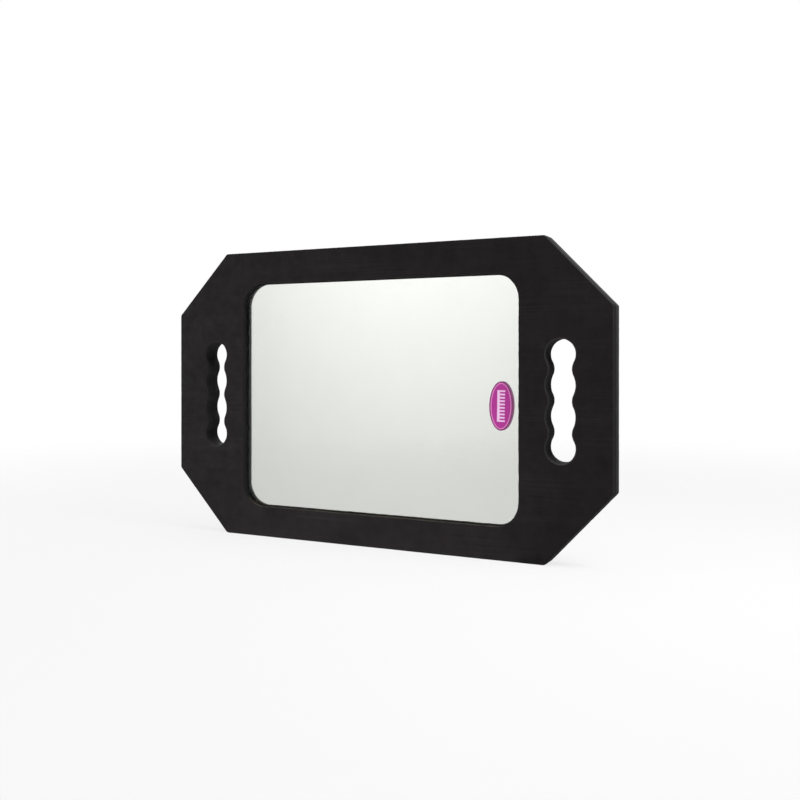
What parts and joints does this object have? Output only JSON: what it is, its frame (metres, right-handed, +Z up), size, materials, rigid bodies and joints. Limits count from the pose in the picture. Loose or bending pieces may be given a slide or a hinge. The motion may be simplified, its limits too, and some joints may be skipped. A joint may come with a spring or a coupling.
{
  "type": "two-handed salon mirror",
  "caption": "Hand mirror in a thick octagonal foam slab: glass set into a rounded window, with a scalloped finger slot through each end.",
  "frame": {"origin": "middle of the bottom edge that the mirror stands on, halfway through its thickness", "axes": "+X along the mirror's length, to the right for someone facing the glass; +Y from the glass side to the closed foam back; +Z up, as the mirror is held"},
  "size_m": [0.44, 0.02, 0.275],
  "materials": {
    "foam": "matt closed-cell foam with a fine skived grain",
    "adhesive": "dried adhesive film",
    "mirror": "polished float glass",
    "silvering": "bright silvering with protective paint behind",
    "film": "satin vinyl",
    "tape": "matt tape",
    "label": "satin printed vinyl"
  },
  "bodies": {
    "root": {"front_frame": "foam", "rear_panel": "foam", "laminating_adhesive": "adhesive", "mirror_glass": "mirror", "mirror_silvering": "silvering", "safety_film": "film", "mounting_tape_top": "tape", "mounting_tape_bottom": "tape", "mounting_tape_left": "tape", "mounting_tape_right": "tape", "label_film": "label", "label_adhesive": "adhesive"}
  },
  "joints": []
}
